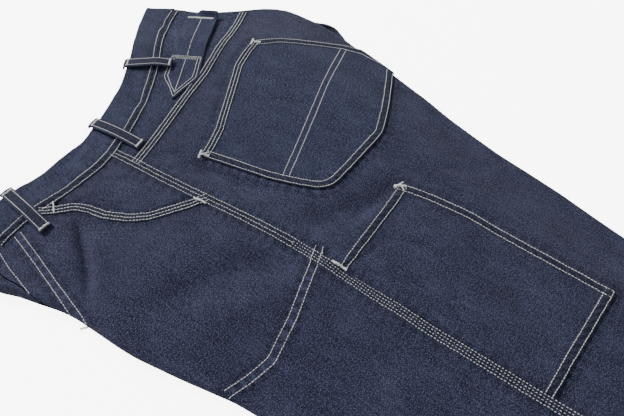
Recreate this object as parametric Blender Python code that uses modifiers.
"""Denim painter trousers laid on their right side, the two legs stacked, left side up.

X runs from the front of the wearer to the back, Y up the leg to the waist, Z up from
the surface that they lie on. Plan sizes are measured from the point where the left side
seam meets the waistband: x towards the back, and "down" along the leg to the hem.
"""

import math

import bmesh
import bpy
import numpy as np
from mathutils import Matrix, Vector

MM = 0.001
OBJECT_NAME = "painter_trousers"

# Driving sizes in metres.
LEG_LENGTH = 0.985  # waistband seam to hem edge, along the side seam
HEM_TURN = 0.022
BAND_WIDTH = 0.035
CLOTH = 0.0015  # one layer of denim
HEM_WALL = 0.0024  # a turned hem
HEM_PROUD = 0.0006
BAND_WALL = 0.0028  # two layers and their turnings
BAND_PROUD = 0.0010
GAP = 0.0003
FOLD_HEIGHT = 0.007  # one leg's folded edge, so the stack's edge is twice this
HIP_ROLL = 0.007  # how far the hips' edge rounds inwards
LEG_ROLL = 0.0035
RETURN_WIDTH = 0.018  # cloth of the left leg that shows below its fold
EDGE_FADE = 0.070  # the stack thickens from its edge over this width
HIP_CROWN = 0.008  # how much thicker the stack is in the middle
HEM_CROWN = 0.006
LEGS_APART = 0.0035  # how far the lower leg bulges up at the hem's middle
WAIST_CURVE_END = 0.220  # rows across the leg are straight from here down
FLOOR_WALL = 0.003  # right side of the hips, under the waist's hollow
MOUTH_DEPTH = 0.095
MOUTH_CLOSED = 0.150
BAND_PARTING = 0.0009  # the halves of the waistband part by this at the back fold
BAND_START = 0.07
FLOOR_SETBACK = 0.003  # the floor of the hips ends this far below the waistband
LEDGE_LIP = 0.0024
LAYER_GAP = 0.0008
LAYER_SLACK = 0.0020  # the layers lie looser above the legs
LEG_MOUTH = {"depth": 0.042, "width": 0.130, "low": 0.0023, "high": 0.0070, "x": 0.009}
UNDERLAP = 0.030  # waistband's right end under its left end
UNDERLAP_SHARES = (0.12, 0.2, 0.6, 1.0)  # it is fully under at the second of these
FACING_UNDER = 0.012  # pocket facing under the mouth's edge
FACING_DROP = 0.0022
FACING_RISE = (0.003, 0.022)  # start and length of its rise to the cloth's own level
FACING_ROWS_END = 0.105
LAPPED_ROWS_END = 0.067  # the right front shows beside the lapped edge down to here
CROWN_SINKS = (0.25, 0.60)  # start and length of the crown's change down the leg
SPLIT_START = {-1: 0.100, 1: 0.125}  # the legs' own folds begin here, by side
SPLIT_LENGTH = 0.045
EDGE_WAVES = ((0.0007, 0.061), (0.0004, 0.023))  # height and length over a full turn's angle
LOWER_INSET = 0.001  # the right leg lies this much inside the left
LOWER_DRIFT = (-0.004, 0.45, 0.35)  # how far it drifts to the front, start and length
PEEP = (0.011, 0.125, 0.011)  # the right seat's bump: how far out, down, half length
SLACK_ENDS = (0.145, 0.005)  # start and length
SLACK_IN_FOLDS = 0.3  # the layers lie lower under a fold by this share of its height
LEG_MOUTH_ROWS = (0.90, 0.03)  # the layers close onto the lower leg over these
LEDGE_CLEAR = 0.003
LEDGE_STEP = 0.0006
SOFT_REACH = 0.007
FINE_REACH = 0.003

# Outline in plan, millimetres.
OUTLINE = np.array([
    # down, front fold, back fold
    (-36, -160, 187),
    (0, -160, 204),
    (28, -158, 214),
    (46, -150, 227),
    (65, -145, 245),
    (80, -140, 264),
    (95, -137, 277),
    (120, -136, 277),
    (137, -136, 270),
    (153, -135, 260),
    (192, -128, 244),
    (240, -118, 229),
    (303, -113, 213),
    (368, -110, 202),
    (432, -108, 187),
    (520, -107, 171),
    (640, -106, 153),
    (800, -104, 136),
    (985, -102, 123),
]) * MM
# Waistband seam, millimetres: x, then rise above the top of the side seam.
WAIST_SEAM = np.array([
    (-165, 12), (-122, 10), (-86, 6), (-45, -1), (-15, -2), (0, 0), (28, 6), (47, 13),
    (66, 21), (86, 31), (109, 45), (130, 60), (156, 79), (178, 92), (204, 103), (290, 156),
]) * MM
# Side seam, millimetres: down, x.
SIDE_SEAM = np.array([
    (-36, -3), (0, 0), (75, 5), (108, 8), (156, 12), (207, 15), (258, 13), (326, 10),
    (440, 8), (985, 8),
]) * MM
# Front pocket mouth, millimetres: down, x.
POCKET_MOUTH = np.array([
    (0, -88), (14, -76), (24, -64), (36, -59), (50, -55), (67, -46), (80, -35), (90, -20),
    (100, -5), (109, 8),
]) * MM
# Edge of the left front where it laps over the right, millimetres: down, then the
# distance from the fold's middle line up over the edge.
LAPPED_EDGE = np.array([(-36, 22), (0, 21), (20, 18), (40, 13), (60, 6.5), (78, 0)]) * MM
# Yoke seam, millimetres down, at shares of the way from side seam to back fold.
YOKE_SHARES = (0.0, 0.10, 0.20, 0.32, 0.40, 0.53, 0.69, 0.79, 1.0)
YOKE_DOWN = (29, 31, 34, 40, 44, 55, 62, 65, 68)
# Soft folds of the cloth, millimetres: a bowed line in plan, its half width and height.
FOLDS = np.array([
    # start x, start y, end x, end y, bow, half width, height
    (-60, -34, -134, -150, -17, 10, -4.0),
    (-120, -138, 16, -214, 7, 14, -5.0),
    (30, -46, 43, -152, -4, 10, -3.0),
    (36, -202, 124, -238, -4, 11, -4.5),
    (19, -242, 6, -300, 0, 8, -2.5),
    (112, -254, 46, -262, 0, 9, -2.5),
    (226, -205, 140, -212, 0, 20, -2.0),
    (-98, -104, 0, -160, 5, 24, 3.0),
    (-100, -188, 6, -246, 5, 18, 2.5),
    (90, -290, 34, -400, 8, 20, 2.0),
    (100, -330, 60, -420, -6, 14, -1.8),
    (-58, 60, -52, 0, 0, 11, -3.0),
    (-4, 60, -8, 4, 0, 9, -2.0),
    (74, 75, 60, 15, 0, 13, -3.0),
    (160, 130, 182, 60, 4, 10, -3.5),
    (118, 105, 140, 45, 0, 11, 1.5),
    (-84, -300, 30, -350, 6, 20, -2.0),
    (-96, -470, 20, -500, 8, 22, -3.0),
    (160, -500, 40, -540, -6, 24, -3.0),
    (-90, -560, 70, -610, 5, 26, 2.5),
    (134, -640, 0, -690, 7, 22, -2.5),
    (-92, -720, 30, -760, 5, 24, -2.0),
    (118, -800, 10, -830, 4, 22, -2.0),
    (-80, -870, 60, -900, 4, 24, 1.5),
]) * MM
FOLD_OVERRUN = 0.12  # each fold goes on past its ends by this share of its length
FOLD_FADE = 0.30  # and fades over this share
# Plan corners of what is sewn on, millimetres, anticlockwise.
BACK_POCKET = ((42, -73), (72, -195), (166, -201), (262, -158), (268, -104), (199, -14))
TOOL_POCKET = ((17, -242), (13, -433), (122, -442), (124, -245))
STRAP_TIP = (83, -3)
STRAP_TURN = math.radians(27.8)
STRAP_OUTLINE = ((0, 0), (32, -19), (150, -17), (150, 17), (32, 19))
POCKET_FLOOR = 0.009  # a pocket or strap that goes over the fold ends this high
PATCH_LIFT = 0.00035
# Belt loops, millimetres: upper x, lower x and y, and what the lower end clears.
BELT_LOOPS = {
    "belt_loop_front": (-88, -95, -18, 0.0),
    "belt_loop_side": (16, 21, -20, 0.0),
    "belt_loop_back": (95, 121, 30, 2.4),
}
LOOP_WIDTH = 0.012
LOOP_WALL = 0.0022
LOOP_ARCH = 0.0024
LOOP_LIFT = 0.0008
LOOP_OVER = 0.001  # its upper end stands past the waistband's edge
LOOP_END_DROP = 0.006  # and turns down over it
LOOP_CLEARS_BY = 0.4  # share of its length at which it starts to clear what is below
LOOP_STATIONS = 9
BUTTON = {"x": -0.124, "down": -0.017, "radius": 0.0085, "height": 0.0034, "rim": 0.0009}

FRONT_COLUMNS = 9
BACK_COLUMNS = 13
EDGE_COLUMNS = 9
LEG_EDGE_SHARES = (0.0, 0.27, 0.545, 0.61, 0.68, 0.745, 0.81, 0.88, 1.0)
EDGE_FLAT = 0.004
BAND_COLUMNS = 24
FLOOR_COLUMNS = 9
HEM_COLUMNS = 13
HIP_ROWS = np.array([0.3, 14, 28, 42, 54, 66, 78, 90, 102, 112, 122, 136]) * MM
LEG_ROWS = np.concatenate([
    np.linspace(MOUTH_CLOSED, 0.446, 18),
    np.linspace(0.482, LEG_LENGTH - HEM_TURN - GAP, 13),
])
ROWS = np.concatenate([HIP_ROWS, LEG_ROWS])
# The middle of the whole outline, which becomes the origin.
MIDDLE = Vector((0.0625, -0.4270, 0.0))

DENIM_FRONT = (0.039, 0.048, 0.091, 1.0)
DENIM_LEG = (0.034, 0.042, 0.078, 1.0)
DENIM_SEAT = (0.042, 0.054, 0.095, 1.0)
METAL = (0.42, 0.36, 0.27, 1.0)


def smoothstep(t):
    """0 below 0, 1 above 1 and an S curve between."""
    t = np.clip(t, 0.0, 1.0)
    return t * t * (3.0 - 2.0 * t)


def softened(table, column, at, reach=SOFT_REACH):
    """A column of a table read along its first column, with its corners averaged round."""
    at = np.asarray(at, float)
    low, mid, high = (
        np.interp(at + k * reach, table[:, 0], table[:, column]) for k in (-1, 0, 1)
    )
    return (low + 2.0 * mid + high) / 4.0


def fold_x(down, side):
    """The outermost line of the front fold, side -1, or of the back fold, side 1."""
    return softened(OUTLINE, 1 if side < 0 else 2, down)


def side_seam(down):
    return softened(SIDE_SEAM, 1, down)


def plan_y(x, down):
    """Rows follow the waistband's curve at the top and straighten further down."""
    rise = softened(WAIST_SEAM, 1, x)
    return -down + (1.0 - smoothstep(down / WAIST_CURVE_END)) * rise


def down_at(x, y):
    """The distance down of a point in plan, by repeated correction."""
    down = -np.asarray(y, float)
    for _ in range(30):
        down = down + 0.6 * (plan_y(x, down) - y)
    return down


def edge_height(down):
    """Height of the line where the left side lies on the right, along the edges."""
    return FOLD_HEIGHT + sum(height * np.sin(down / length) for height, length in EDGE_WAVES)


def edge_window(x, down):
    """0 at both folds and 1 towards the middle of the stack."""
    inward = np.minimum(x - fold_x(down, -1), fold_x(down, 1) - x)
    return smoothstep((inward - EDGE_FLAT) / EDGE_FADE)


def fold_relief(x, y):
    """Sum of the soft folds: a bell across each bowed line, fading at its ends."""
    total = np.zeros(np.broadcast(x, y).shape)
    for x0, y0, x1, y1, bow, half_width, height in FOLDS:
        length = math.hypot(x1 - x0, y1 - y0)
        along = ((x - x0) * (x1 - x0) + (y - y0) * (y1 - y0)) / length**2
        aside = ((y - y0) * (x1 - x0) - (x - x0) * (y1 - y0)) / length
        aside = aside - bow * 4.0 * along * (1.0 - along)
        ends = smoothstep((along + FOLD_OVERRUN) / FOLD_FADE)
        ends = ends * smoothstep((1.0 + FOLD_OVERRUN - along) / FOLD_FADE)
        total = total + height * ends * np.exp(-((aside / half_width) ** 2))
    return total


def top_height(x, down):
    """Outer surface of the upper, left side."""
    start, length = CROWN_SINKS
    crown = HIP_CROWN + (HEM_CROWN - HIP_CROWN) * smoothstep((down - start) / length)
    relief = fold_relief(x, plan_y(x, down))
    return edge_height(down) + FOLD_HEIGHT + edge_window(x, down) * (crown + relief)


def between_legs(x, down):
    """Surface where the left leg lies on the right leg, near the hem."""
    return edge_height(down) + LEGS_APART * edge_window(x, down)


def legs_split(down, side):
    """0 where both halves share one rounded edge, 1 where each leg has its own fold."""
    return smoothstep((down - SPLIT_START[side]) / SPLIT_LENGTH)


def roll_radius(down, side):
    return HIP_ROLL + (LEG_ROLL - HIP_ROLL) * legs_split(down, side)


def beyond_fold(down, side, outward, z, shift=0.0):
    """Points outward from the fold's outermost line along the row, inward if negative."""
    x = fold_x(down, side) + shift
    step = 0.002
    slope = (plan_y(x + step, down) - plan_y(x - step, down)) / (2.0 * step)
    run = side * outward / np.hypot(1.0, slope)
    return np.stack([x + run, plan_y(x, down) + run * slope, z + 0.0 * x], axis=-1)


def on_top(x, down, proud=0.0):
    return np.stack([x, plan_y(x, down), top_height(x, down) + proud], axis=-1)


def left_edge(down, side, climb, proud=0.0):
    """The left side's edge, at a distance up from the middle line of the stack's edge.

    Below 0 it runs back under the left leg, then it rounds the fold, and past the arc
    it lies on the top."""
    split = legs_split(down, side)
    radius = roll_radius(down, side)
    sweep = math.pi / 2 * (1.0 + split)
    arc = radius * sweep
    turn = sweep * (1.0 - np.clip(climb / arc, 0.0, 1.0))
    outward = (radius + proud) * np.sin(turn) - radius + np.minimum(climb, 0.0)
    share = (1.0 - np.cos(turn)) / (1.0 - np.cos(sweep))
    z = edge_height(down) + (FOLD_HEIGHT + proud) * (1.0 - share)
    rolled = beyond_fold(down, side, outward, z)
    flat = beyond_fold(down, side, -radius - (climb - arc), 0.0)
    flat[..., 2] = top_height(flat[..., 0], down) + proud
    return np.where((climb > arc)[..., None], flat, rolled)


def edge_climbs(down, side, lowest):
    """Where the edge columns lie, from the piece's own edge up to just past the arc."""
    split = legs_split(down, side)
    arc = roll_radius(down, side) * math.pi / 2 * (1.0 + split)
    highest = np.maximum(arc + EDGE_FLAT, lowest + 2.0 * EDGE_FLAT)
    even = np.linspace(0.0, 1.0, EDGE_COLUMNS)
    for share, leg_share in zip(even, LEG_EDGE_SHARES):
        yield lowest + (highest - lowest) * (share + (leg_share - share) * split)


def right_edge(down, side, turn, proud=0.0):
    """The right side's edge, from the middle line of the stack's edge to the floor."""
    split = legs_split(down, side)
    start = (1.0 - split) * math.pi / 2
    angle = start + (math.pi - start) * turn
    radius = roll_radius(down, side)
    z = (edge_height(down) - GAP) * (1.0 + np.cos(angle)) / (1.0 + np.cos(start))
    outward = (radius + proud) * np.sin(angle) - radius
    return beyond_fold(down, side, outward, z, lower_shift(down, side))


def lower_shift(down, side):
    """The right leg lies a little inside the left and drifts forward down the leg."""
    forward, start, length = LOWER_DRIFT
    shift = forward * smoothstep((down - start) / length) - LOWER_INSET * side
    out, middle, half_length = PEEP
    peep = out * np.exp(-(((down - middle) / half_length) ** 2)) if side > 0 else 0.0
    return shift * legs_split(down, side) + peep


def inner_x(down, side):
    """Where the edge columns end on the top."""
    return beyond_fold(down, side, -roll_radius(down, side) - EDGE_FLAT, 0.0)[..., 0]


def grid_faces(rows, columns, around=False):
    index = np.arange(rows * columns).reshape(rows, columns)
    if around:
        index = np.concatenate([index, index[:, :1]], axis=1)
    a, b = index[:-1, :-1].ravel(), index[:-1, 1:].ravel()
    c, d = index[1:, 1:].ravel(), index[1:, :-1].ravel()
    return np.concatenate([np.stack([a, b, c], 1), np.stack([a, c, d], 1)]).tolist()


def sheet_mesh(name, columns, around=False, faces_down=False):
    """Columns of points as a sheet of triangles, facing up, or outwards on a tube."""
    points = np.stack(columns, axis=1)
    mesh = bpy.data.meshes.new(name)
    faces = grid_faces(*points.shape[:2], around)
    mesh.from_pydata(points.reshape(-1, 3).tolist(), [], faces)
    mesh.update()
    centre = Vector(points.reshape(-1, 3).mean(axis=0))
    facing = 0.0
    for face in mesh.polygons:
        outwards = face.normal.dot(face.center - centre) if around else face.normal.z
        facing += outwards * face.area
    if (facing < 0) != faces_down:
        mesh.flip_normals()
    return mesh


def cloth(name, mesh, colour, wall=CLOTH, outward=False):
    """Places a sheet and gives it its wall, inwards from its points or outwards."""
    obj = place(name, mesh, colour)
    solidify = obj.modifiers.new("wall", "SOLIDIFY")
    solidify.thickness = wall
    solidify.offset = 1.0 if outward else -1.0
    return obj


def place(name, mesh, colour, roughness=0.9, metallic=0.0):
    mesh.transform(Matrix.Translation(-MIDDLE))
    obj = bpy.data.objects.new(name, mesh)
    material = bpy.data.materials.new(name + "_finish")
    material.use_nodes = True
    shader = material.node_tree.nodes["Principled BSDF"]
    shader.inputs["Base Color"].default_value = colour
    shader.inputs["Roughness"].default_value = roughness
    shader.inputs["Metallic"].default_value = metallic
    mesh.materials.append(material)
    mesh.shade_smooth()
    collection.objects.link(obj)
    return obj


def sewn_on(name, base, corners, colour, floor=0.0):
    """A piece cut from a copy of the surface it lies on, moved out and given a wall."""
    shape = bmesh.new()
    shape.from_mesh(base)
    corners = [Vector((x * MM, y * MM, 0.0)) for x, y in corners]
    for start, end in zip(corners, corners[1:] + corners[:1]):
        side = (end - start).normalized()
        cut_away(shape, start, Vector((side.y, -side.x, 0.0)))
    cut_away(shape, Vector((0.0, 0.0, floor)), Vector((0.0, 0.0, -1.0)))
    shape.normal_update()
    for vertex in shape.verts:
        vertex.co += vertex.normal * PATCH_LIFT
    mesh = bpy.data.meshes.new(name)
    shape.to_mesh(mesh)
    shape.free()
    return cloth(name, mesh, colour, outward=True)


def cut_away(shape, point, outward):
    """Removes what lies on the outward side of a plane."""
    geometry = shape.verts[:] + shape.edges[:] + shape.faces[:]
    bmesh.ops.bisect_plane(
        shape, geom=geometry, dist=1e-6, plane_co=point, plane_no=outward, clear_outer=True
    )
    bmesh.ops.triangulate(shape, faces=shape.faces[:])


def across_top(down, start, end, count, drop=0.0):
    """Columns on the top from after start to end."""
    for share in np.linspace(0.0, 1.0, count + 1)[1:]:
        yield on_top(start + (end - start) * share, down, -drop)


def lapped_climb(down):
    return softened(LAPPED_EDGE, 1, down, FINE_REACH)


def mouth_x(down):
    return softened(POCKET_MOUTH, 1, down, FINE_REACH)


def make_front():
    """Left front, from round the front fold to the side seam and the pocket mouth."""
    down = ROWS
    lowest = np.where(down < LAPPED_EDGE[-1, 0], lapped_climb(down), 0.0)
    lowest = lowest - RETURN_WIDTH * legs_split(down, -1)
    columns = [left_edge(down, -1, climb) for climb in edge_climbs(down, -1, lowest)]
    seam = side_seam(down)
    end = np.where(down < POCKET_MOUTH[-1, 0], np.minimum(mouth_x(down), seam), seam)
    columns += across_top(down, columns[-1][:, 0], end - GAP / 2, FRONT_COLUMNS)
    cloth("front_left", sheet_mesh("front_left", columns), DENIM_FRONT)


def make_right_front():
    """The part of the right front that comes over the fold beside the lapped edge."""
    down = HIP_ROWS[HIP_ROWS < LAPPED_ROWS_END]
    columns = []
    for share in np.linspace(0.0, 1.0, 6):
        climb = GAP / 2 + (lapped_climb(down) - 4.0 * GAP) * share
        columns.append(left_edge(down, -1, climb))
    cloth("front_right_edge", sheet_mesh("front_right_edge", columns), DENIM_FRONT)


def make_pocket_facing():
    """Facing of the front pocket, which dips under the mouth's edge."""
    down = HIP_ROWS[HIP_ROWS < FACING_ROWS_END]
    mouth = mouth_x(down)
    seam = side_seam(down) - GAP / 2
    rise_start, rise_length = FACING_RISE
    columns = []
    for share in np.linspace(0.0, 1.0, 7):
        x = mouth - FACING_UNDER + (seam - mouth + FACING_UNDER) * share
        drop = FACING_DROP * (1.0 - smoothstep((x - mouth - rise_start) / rise_length))
        columns.append(on_top(x, down, -drop))
    cloth("pocket_facing_left", sheet_mesh("pocket_facing_left", columns), DENIM_FRONT)


def back_columns(down_for):
    """Columns from the side seam round the back fold, for rows that vary across."""
    columns = []
    for share in np.linspace(0.0, 1.0, BACK_COLUMNS + 1):
        down = down_for(share)
        seam = side_seam(down) + GAP / 2
        columns.append(on_top(seam + (inner_x(down, 1) - seam) * share, down))
    down = down_for(1.0)
    climbs = list(edge_climbs(down, 1, GAP / 2 - RETURN_WIDTH * legs_split(down, 1)))
    return columns + [left_edge(down, 1, climb) for climb in climbs[-2::-1]]


def yoke_line(share):
    return np.interp(share, YOKE_SHARES, YOKE_DOWN) * MM


def make_yoke():
    def down_for(share):
        return np.linspace(GAP, yoke_line(share) - GAP / 2, 5)

    mesh = sheet_mesh("yoke_left", back_columns(down_for))
    strap = [turned(x, y) for x, y in STRAP_OUTLINE]
    sewn_on("cinch_strap", mesh, strap, DENIM_SEAT, POCKET_FLOOR)
    cloth("yoke_left", mesh, DENIM_SEAT)


def turned(along, aside):
    """A point of the strap's outline, millimetres, turned to lie along the strap."""
    cos, sin = math.cos(STRAP_TURN), math.sin(STRAP_TURN)
    return STRAP_TIP[0] + along * cos - aside * sin, STRAP_TIP[1] + along * sin + aside * cos


def make_back():
    """Left back below the yoke, with the two pockets that are sewn on it."""
    def down_for(share):
        upper = np.linspace(yoke_line(share) + GAP / 2, MOUTH_CLOSED, 7)[:-1]
        return np.concatenate([upper, LEG_ROWS])

    mesh = sheet_mesh("back_left", back_columns(down_for))
    sewn_on("back_pocket_left", mesh, BACK_POCKET, DENIM_SEAT, POCKET_FLOOR)
    sewn_on("tool_pocket", mesh, TOOL_POCKET, DENIM_LEG)
    cloth("back_left", mesh, DENIM_LEG)


def make_band_left():
    """Left half of the waistband, from its lapped end over the back fold."""
    down = np.linspace(-BAND_WIDTH, -GAP, 4)
    columns = [left_edge(down, -1, lapped_climb(down), BAND_PROUD)]
    columns += across_top(down, columns[0][:, 0], inner_x(down, 1), BAND_COLUMNS, -BAND_PROUD)
    arc = HIP_ROLL * math.pi / 2
    for climb in np.linspace(arc, BAND_PARTING, 5):
        columns.append(left_edge(down, 1, climb + 0.0 * down, BAND_PROUD))
    cloth("waistband_left", sheet_mesh("waistband_left", columns), DENIM_SEAT, BAND_WALL)


def floor_columns(down, start, end):
    """Columns on the floor between the two edges."""
    for share in np.linspace(0.0, 1.0, FLOOR_COLUMNS + 2)[1:-1]:
        x = start[:, 0] + (end[:, 0] - start[:, 0]) * share
        yield np.stack([x, plan_y(x, down), 0.0 * x], axis=-1)


def make_band_right():
    """Right half of the waistband, under the left, round the front fold and lapped over."""
    down = np.linspace(-BAND_WIDTH, -GAP, 4)
    turns = np.linspace(0.0, 1.0, 5)
    columns = [right_edge(down, 1, max(turn, BAND_START), BAND_PROUD) for turn in turns]
    back, front = columns[-1], right_edge(down, -1, 1.0, BAND_PROUD)
    columns += floor_columns(down, back, front)
    columns += [right_edge(down, -1, turn, BAND_PROUD) for turn in turns[:0:-1]]
    arc = HIP_ROLL * math.pi / 2
    columns += [left_edge(down, -1, climb + 0.0 * down, BAND_PROUD)
                for climb in np.linspace(0.0, arc, 5)]
    under = BAND_WALL - BAND_PROUD + 2.0 * GAP
    end = lapped_climb(down) + UNDERLAP
    for share in UNDERLAP_SHARES:
        level = BAND_PROUD - (BAND_PROUD + under) * smoothstep(share / UNDERLAP_SHARES[1])
        columns.append(left_edge(down, -1, arc + (end - arc) * share, level))
    mesh = sheet_mesh("waistband_right", columns, faces_down=True)
    cloth("waistband_right", mesh, DENIM_SEAT, BAND_WALL)


def end_faces(points, ring, turns):
    """Triangles that close an end: a fan at each edge and a strip between them."""
    lower_end = 2 + 2 * turns + FLOOR_COLUMNS
    lower = ring[2:lower_end]
    upper = [ring[1], ring[0]] + ring[:lower_end - 1:-1]
    faces = [[lower[k], lower[k + 1], upper[0]] for k in range(turns - 1)]
    faces += [[lower[-k - 2], lower[-k - 1], upper[-1]] for k in range(turns - 1)]
    return faces + strip_between(points, lower[turns - 1:1 - turns], upper)


def strip_between(points, lower, upper):
    """Triangles between two lines of points, keeping step by their share of the length."""
    def shares(line):
        lengths = np.linalg.norm(np.diff(points[line], axis=0), axis=1)
        return np.concatenate([[0.0], np.cumsum(lengths)]) / lengths.sum()

    lower_share, upper_share = shares(lower), shares(upper)
    faces = []
    i = j = 0
    while i + j < len(lower) + len(upper) - 2:
        lower_done = i == len(lower) - 1
        if lower_done or (j < len(upper) - 1 and upper_share[j + 1] < lower_share[i + 1]):
            faces.append([lower[i], upper[j + 1], upper[j]])
            j += 1
        else:
            faces.append([lower[i], lower[i + 1], upper[j]])
            i += 1
    return faces


def layer_top(x, down):
    """Top of the hidden layers: low in the waist's hollow, and just under the cloth below."""
    slack = LAYER_SLACK * (1.0 - smoothstep((down - SLACK_ENDS[0]) / SLACK_ENDS[1]))
    slack = slack + SLACK_IN_FOLDS * np.abs(fold_relief(x, plan_y(x, down)))
    under_cloth = top_height(x, down) - CLOTH - LAYER_GAP - slack
    filled = smoothstep((down - MOUTH_DEPTH) / (MOUTH_CLOSED - MOUTH_DEPTH))
    height = FLOOR_WALL + (under_cloth - FLOOR_WALL) * filled
    leg_mouth = smoothstep((down - LEG_MOUTH_ROWS[0]) / LEG_MOUTH_ROWS[1])
    return height + (between_legs(x, down) - height) * leg_mouth


def make_hidden_layers():
    """The right side and the inner legs as one rounded form, stepped at its edges.

    Its rows run up the leg, so that its triangles on top are those of the panels."""
    down = ROWS[::-1]
    turns = np.linspace(0.0, 1.0, 6)

    def ledge(side):
        """From the ledge under the left leg's fold up to the top of the layers."""
        split = legs_split(down, side)
        deepest = roll_radius(down, side) + RETURN_WIDTH + LEDGE_CLEAR
        reach = LEDGE_LIP + (deepest - LEDGE_LIP) * split
        lip = beyond_fold(down, side, -reach, edge_height(down) - GAP)
        step = beyond_fold(down, side, -reach - LEDGE_STEP, 0.0)
        step[:, 2] = layer_top(step[:, 0], down)
        return [lip, step]

    def on_layers(start, end, shares):
        for share in shares:
            x = start + (end - start) * share
            yield np.stack([x, plan_y(x, down), layer_top(x, down)], axis=-1)

    seam = side_seam(down)
    columns = ledge(-1)[::-1] + [right_edge(down, -1, turn) for turn in turns]
    columns += floor_columns(down, columns[-1], right_edge(down, 1, 1.0))
    columns += [right_edge(down, 1, turn) for turn in turns[::-1]] + ledge(1)
    back_shares = np.linspace(0.0, 1.0, BACK_COLUMNS + 1)[-3::-1]
    front_shares = np.linspace(0.0, 1.0, FRONT_COLUMNS + 1)[-2:1:-1]
    columns += on_layers(seam, inner_x(down, 1), back_shares)
    columns += on_layers(inner_x(down, -1), seam, front_shares)
    for column in columns:
        if column[-1, 2] < 1.5 * FLOOR_WALL:
            column[-1, 1] -= FLOOR_SETBACK
    points = np.stack(columns, axis=1)
    rows, count = points.shape[:2]
    faces = grid_faces(rows, count, around=True)
    for row in (0, rows - 1):
        ring = list(range(row * count, (row + 1) * count))
        faces += end_faces(points.reshape(-1, 3), ring, len(turns))
    mesh = bpy.data.meshes.new("hidden_layers")
    mesh.from_pydata(points.reshape(-1, 3).tolist(), [], faces)
    shape = bmesh.new()
    shape.from_mesh(mesh)
    bmesh.ops.recalc_face_normals(shape, faces=shape.faces[:])
    shape.to_mesh(mesh)
    shape.free()
    obj = place("hidden_layers", mesh, DENIM_LEG)
    cut = obj.modifiers.new("lower leg's opening", "BOOLEAN")
    cut.object = leg_mouth_cutter()
    cut.operation = "DIFFERENCE"


def leg_mouth_cutter():
    """The flat hollow between the lower leg's two layers, above its turned hem."""
    depth, low, high = (LEG_MOUTH[key] for key in ("depth", "low", "high"))
    end = -(LEG_LENGTH - HEM_TURN)
    bpy.ops.mesh.primitive_cube_add(size=1.0)
    cutter = bpy.context.object
    cutter.name = "lower_leg_opening"
    size = Vector((LEG_MOUTH["width"], 2.0 * depth, high - low))
    middle = Vector((LEG_MOUTH["x"], end, (low + high) / 2.0)) - MIDDLE
    cutter.data.transform(Matrix.Translation(middle) @ Matrix.Diagonal(size).to_4x4())
    for owner in cutter.users_collection:
        owner.objects.unlink(cutter)
    cutters.objects.link(cutter)
    cutter.hide_render = True
    cutter.display_type = "WIRE"
    return cutter


def make_hem(name, top_level, bottom_level, edge_top, edge_bottom, shift, proud):
    """A turned hem: a flattened ring of doubled cloth round the end of one leg."""
    down = np.linspace(LEG_LENGTH - HEM_TURN, LEG_LENGTH, 3)
    middle = (edge_top(down) + edge_bottom(down)) / 2.0
    half = (edge_top(down) - edge_bottom(down)) / 2.0
    ends = {side: beyond_fold(down, side, -LEG_ROLL, 0.0, shift(down, side))[:, 0]
            for side in (-1, 1)}

    def flat(start, end, level):
        for share in np.linspace(0.0, 1.0, HEM_COLUMNS):
            x = start + (end - start) * share
            yield np.stack([x, plan_y(x, down), level(x, down)], axis=-1)

    def roll(side, angles):
        for angle in angles:
            outward = (LEG_ROLL + proud) * math.sin(angle) - LEG_ROLL
            z = middle + half * math.cos(angle)
            yield beyond_fold(down, side, outward, z, shift(down, side))

    angles = np.linspace(0.0, math.pi, 6)[1:-1]
    columns = [*flat(ends[-1], ends[1], top_level), *roll(1, angles)]
    columns += [*flat(ends[1], ends[-1], bottom_level), *roll(-1, angles[::-1])]
    cloth(name, sheet_mesh(name, columns, around=True), DENIM_LEG, HEM_WALL)


def make_hems():
    def no_shift(down, side):
        return 0.0 * down

    make_hem(
        "hem_left",
        lambda x, down: top_height(x, down) + HEM_PROUD,
        between_legs,
        lambda down: edge_height(down) + FOLD_HEIGHT + HEM_PROUD,
        edge_height,
        no_shift,
        HEM_PROUD,
    )
    make_hem(
        "hem_right",
        lambda x, down: between_legs(x, down) - GAP,
        lambda x, down: 0.0 * x,
        lambda down: edge_height(down) - GAP,
        lambda down: 0.0 * down,
        lower_shift,
        0.0,
    )


def outer_level(x, y):
    """Height of the panels and of the waistband's left half at a point in plan."""
    down = down_at(x, y)
    on_band = (down > -BAND_WIDTH) & (down < 0.001)
    return top_height(x, down) + np.where(on_band, BAND_PROUD, 0.0)


def highest_near(x, y, reach):
    """The highest level within a square about each point."""
    offsets = np.linspace(-reach, reach, 5)
    levels = [outer_level(x + dx, y + dy) for dx in offsets for dy in offsets]
    return np.max(levels, axis=0)


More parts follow.
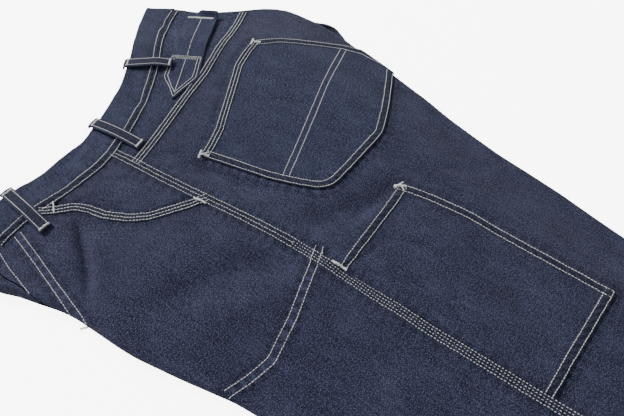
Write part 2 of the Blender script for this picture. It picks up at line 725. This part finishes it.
def make_belt_loop(name, upper_x, lower_x, lower_y, clears):
    """A loop sewn down over the waistband's top edge and again below its seam."""
    upper_y = float(plan_y(upper_x * MM, -BAND_WIDTH)) + LOOP_OVER
    upper = np.array([upper_x * MM, upper_y])
    lower = np.array([lower_x, lower_y]) * MM
    share = np.linspace(0.0, 1.0, LOOP_STATIONS)
    x, y = (upper[k] + (lower[k] - upper[k]) * share for k in (0, 1))
    z = highest_near(x, y, LOOP_WIDTH / 2) + LOOP_LIFT + LOOP_ARCH * np.sin(math.pi * share)
    z = z + clears * MM * smoothstep(share / LOOP_CLEARS_BY - 1.0)
    z[0] = z[1] - LOOP_ARCH / 3
    x, y = np.append(x[0], x), np.append(y[0], y)
    z = np.append(z[0] - LOOP_END_DROP, z)
    aside = np.array([upper[1] - lower[1], lower[0] - upper[0]])
    aside = aside / np.hypot(*aside) * LOOP_WIDTH / 2
    columns = [np.stack([x + k * aside[0], y + k * aside[1], z], axis=-1) for k in (-1, 0, 1)]
    cloth(name, sheet_mesh(name, columns), DENIM_SEAT, LOOP_WALL, outward=True)


def make_button():
    """Metal button on the waistband's lapped end."""
    x = BUTTON["x"]
    y = float(plan_y(x, BUTTON["down"]))
    z = float(highest_near(np.array([x]), np.array([y]), BUTTON["radius"])[0]) + 2.0 * GAP
    bpy.ops.mesh.primitive_cylinder_add(
        vertices=24, radius=BUTTON["radius"], depth=BUTTON["height"]
    )
    made = bpy.context.object
    mesh = made.data.copy()
    bpy.data.objects.remove(made)
    mesh.name = "waist_button"
    mesh.transform(Matrix.Translation((x, y, z + BUTTON["height"] / 2)))
    obj = place("waist_button", mesh, METAL, 0.35, 1.0)
    bevel = obj.modifiers.new("rounded rim", "BEVEL")
    bevel.width = BUTTON["rim"]
    bevel.segments = 2


def new_collection(name):
    made = bpy.data.collections.new(name)
    bpy.context.scene.collection.children.link(made)
    return made


for old in list(bpy.data.objects):
    bpy.data.objects.remove(old)
collection = new_collection(OBJECT_NAME)
cutters = new_collection("cutters")
make_hidden_layers()
make_front()
make_right_front()
make_pocket_facing()
make_yoke()
make_back()
make_band_left()
make_band_right()
make_hems()
for loop_name, sizes in BELT_LOOPS.items():
    make_belt_loop(loop_name, *sizes)
make_button()
